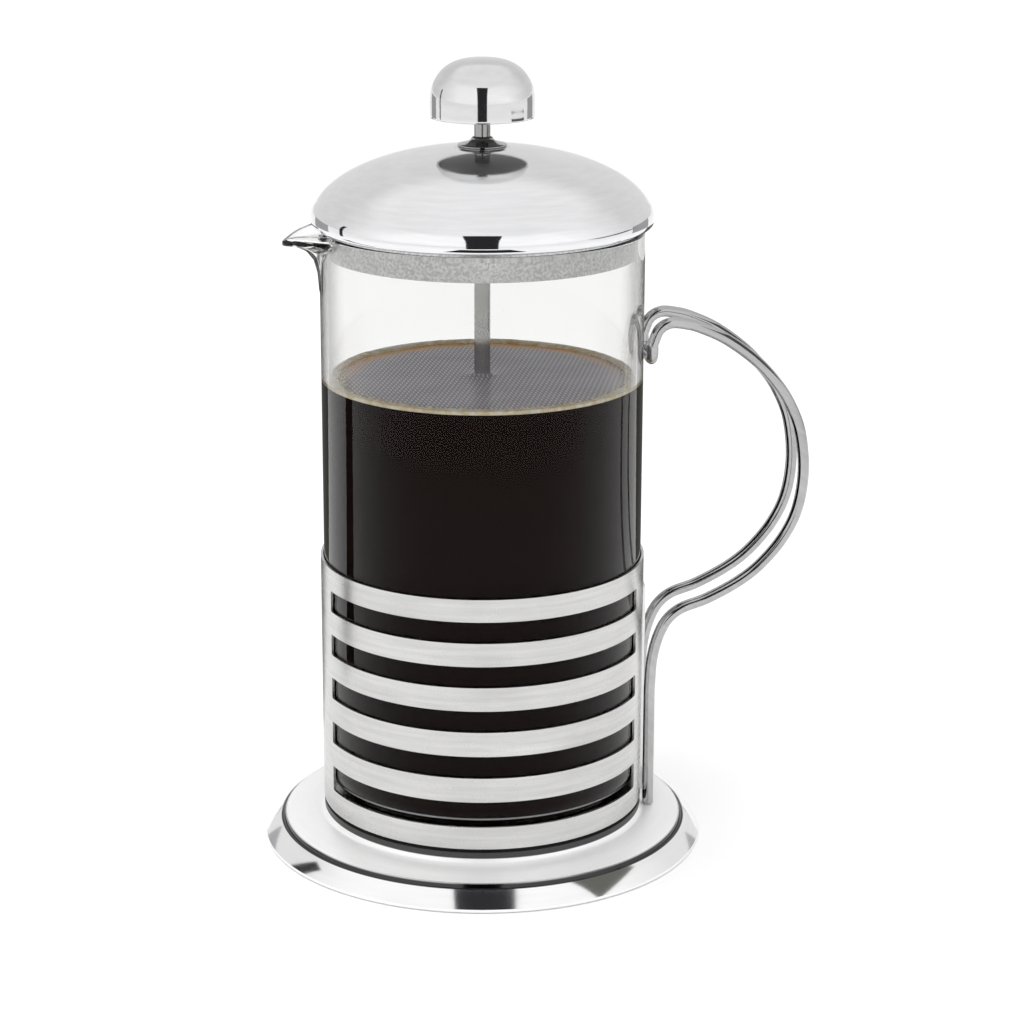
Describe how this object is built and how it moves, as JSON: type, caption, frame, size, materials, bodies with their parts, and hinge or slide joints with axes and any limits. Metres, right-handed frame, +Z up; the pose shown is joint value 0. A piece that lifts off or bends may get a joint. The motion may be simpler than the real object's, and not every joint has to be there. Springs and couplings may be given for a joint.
{
  "type": "french press",
  "caption": "Glass beaker coffee press in a slotted steel frame with a round foot, looped wire handle, domed lid and hollow dome knob.",
  "frame": {"origin": "centre of the foot's underside, on the beaker's axis", "axes": "+Z up along the beaker's axis, +X towards the handle, -X towards the spout"},
  "size_m": [0.1658, 0.1342, 0.2391],
  "materials": {
    "mirror_steel": "mirror polished",
    "satin_steel": "fine brushed satin",
    "frosted_steel": "satin, misted",
    "polished_wire": "polished",
    "woven_mesh": "fine woven screen",
    "black_plastic": "fine grain",
    "clear_silicone": "translucent matte",
    "clear_glass": "clear, fire polished"
  },
  "bodies": {
    "frame": {"base_skirt": "mirror_steel", "base_pad": "black_plastic", "base_rivets": "mirror_steel", "cage_seat_ring": "mirror_steel", "cage": "satin_steel", "beaker_cushion": "clear_silicone", "handle_bracket": "mirror_steel", "handle_wire": "polished_wire"},
    "beaker": {"beaker": "clear_glass"},
    "lid_guide": {"lid_bush": "polished_wire", "lid_nut": "polished_wire"},
    "lid": {"lid_dome": "mirror_steel", "lid_skirt": "frosted_steel"},
    "plunger": {"plunger_rod": "polished_wire", "rod_collar": "polished_wire", "filter_hub": "polished_wire", "spiral_plate": "satin_steel", "edge_spring": "polished_wire", "filter_mesh": "woven_mesh", "filter_plate": "satin_steel"},
    "knob": {"knob_shell": "mirror_steel", "knob_insert": "black_plastic"},
    "filter_nut": {"filter_nut": "polished_wire"}
  },
  "joints": [
    {"name": "beaker_lift", "type": "slide", "parent": "frame", "child": "beaker", "axis": [0, 0, 1], "range_m": [0, 0.12]},
    {"name": "lid_lift", "type": "slide", "parent": "beaker", "child": "lid_guide", "axis": [0, 0, 1], "range_m": [0, 0.19]},
    {"name": "lid_turn", "type": "hinge", "parent": "lid_guide", "child": "lid", "pos_m": [0, 0, 0.2116], "axis": [0, 0, 1], "continuous": true},
    {"name": "plunger_slide", "type": "slide", "parent": "lid_guide", "child": "plunger", "axis": [0, 0, 1], "range_m": [0, 0.15]},
    {"name": "knob_turn", "type": "hinge", "parent": "plunger", "child": "knob", "pos_m": [0, 0, 0.2225], "axis": [0, 0, 1], "continuous": true},
    {"name": "filter_nut_turn", "type": "hinge", "parent": "plunger", "child": "filter_nut", "pos_m": [0, 0, 0.021], "axis": [0, 0, 1], "continuous": true}
  ]
}
